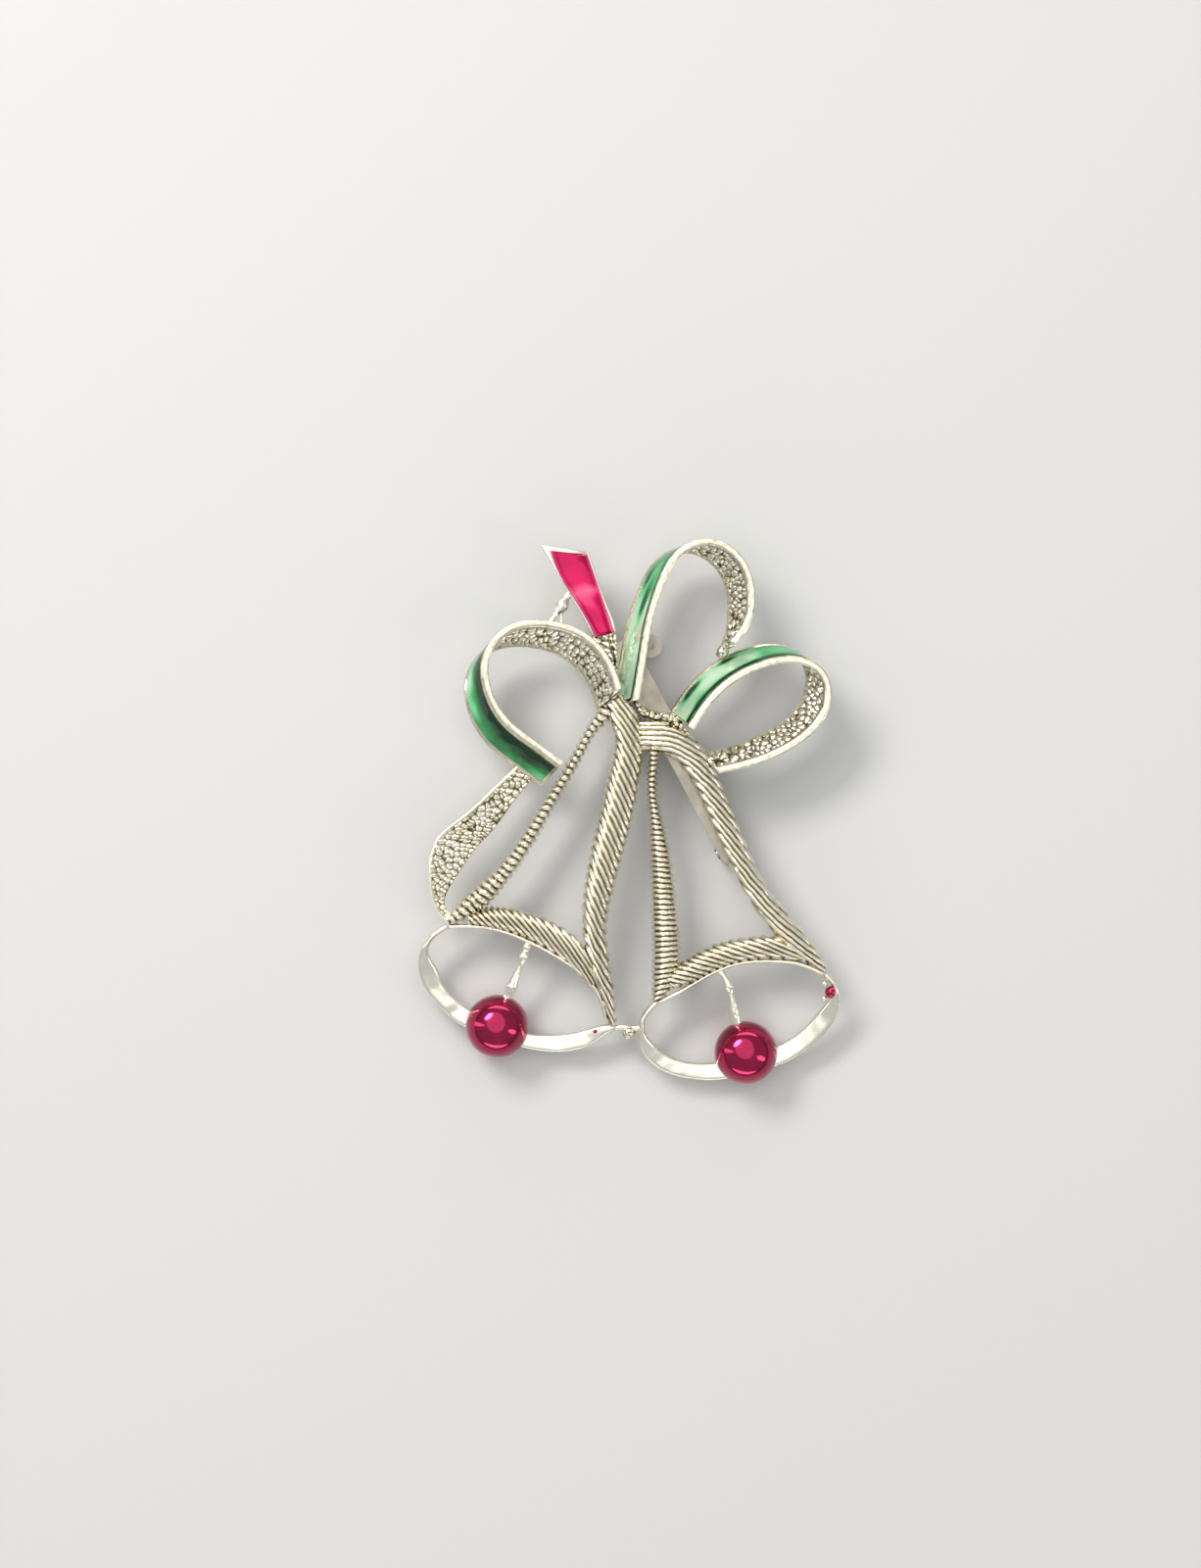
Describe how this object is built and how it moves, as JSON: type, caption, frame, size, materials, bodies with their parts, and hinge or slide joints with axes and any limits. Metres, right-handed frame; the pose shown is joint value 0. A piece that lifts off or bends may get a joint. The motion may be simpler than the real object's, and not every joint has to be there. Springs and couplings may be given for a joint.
{
  "type": "bell brooch",
  "caption": "Lapel brooch of paired openwork bells under a looped ribbon bow, with bead clappers, enamelled ribbons and a hinged safety pin on the back.",
  "frame": {"origin": "middle of the outline, on the surface that the brooch's flat backs lie on", "axes": "+X across the brooch to the viewer's right, +Y from the bell mouths up to the bow, +Z out of the front face"},
  "size_m": [0.04, 0.0516, 0.006],
  "materials": {
    "gold_ribbed": "pale gold plate over rope-ribbed casting, dark in the grooves",
    "gold_polished": "pale gold plate, polished",
    "gold_nugget": "pale gold plate with nugget-textured faces and polished rims",
    "green_enamel": "glossy transparent green cold enamel over metal",
    "red_enamel": "glossy magenta-red cold enamel over metal",
    "red_lacquer": "metallic cherry lacquer, glossy",
    "pin_fittings": "pale gold plate, smooth",
    "pin_steel": "plated spring wire"
  },
  "bodies": {
    "brooch": {"left_bell_inner_limb": "gold_ribbed", "left_bell_outer_limb": "gold_ribbed", "left_bell_hem": "gold_ribbed", "right_bell_inner_limb": "gold_ribbed", "right_bell_outer_limb": "gold_ribbed", "right_bell_hem": "gold_ribbed", "left_bell_mouth_rim": "gold_polished", "left_bell_lip_outer": "gold_polished", "left_bell_lip_inner": "gold_polished", "right_bell_mouth_rim": "gold_polished", "right_bell_lip_outer": "gold_polished", "right_bell_lip_inner": "gold_polished", "left_clapper_stem": "gold_polished", "right_clapper_stem": "gold_polished", "bell_link_bead": "gold_polished", "tail_strut": "gold_polished", "bow_loop_left": "gold_nugget", "bow_loop_top": "gold_nugget", "bow_loop_right": "gold_nugget", "bow_knot": "gold_nugget", "lower_tail": "gold_nugget", "red_tail_strip": "gold_polished", "green_enamel_left": "green_enamel", "green_enamel_top": "green_enamel", "green_enamel_right": "green_enamel", "red_tail_enamel": "red_enamel", "left_clapper_bead": "red_lacquer", "right_clapper_bead": "red_lacquer", "pin_bar": "pin_fittings", "hinge_rivet": "pin_fittings", "catch_housing": "pin_fittings"},
    "pin": {"pin_stem": "pin_steel"},
    "catch": {"catch_rotor": "pin_fittings"}
  },
  "joints": [
    {"name": "pin_hinge", "type": "hinge", "parent": "brooch", "child": "pin", "pos_m": [0.00954, -0.00344, 0.00117], "axis": [-0.8829, -0.4695, 0], "range_deg": [0, 80]},
    {"name": "catch_turn", "type": "hinge", "parent": "brooch", "child": "catch", "pos_m": [-0.00037, 0.01519, 0.00117], "axis": [-0.4695, 0.8829, 0], "range_deg": [0, 90]}
  ]
}
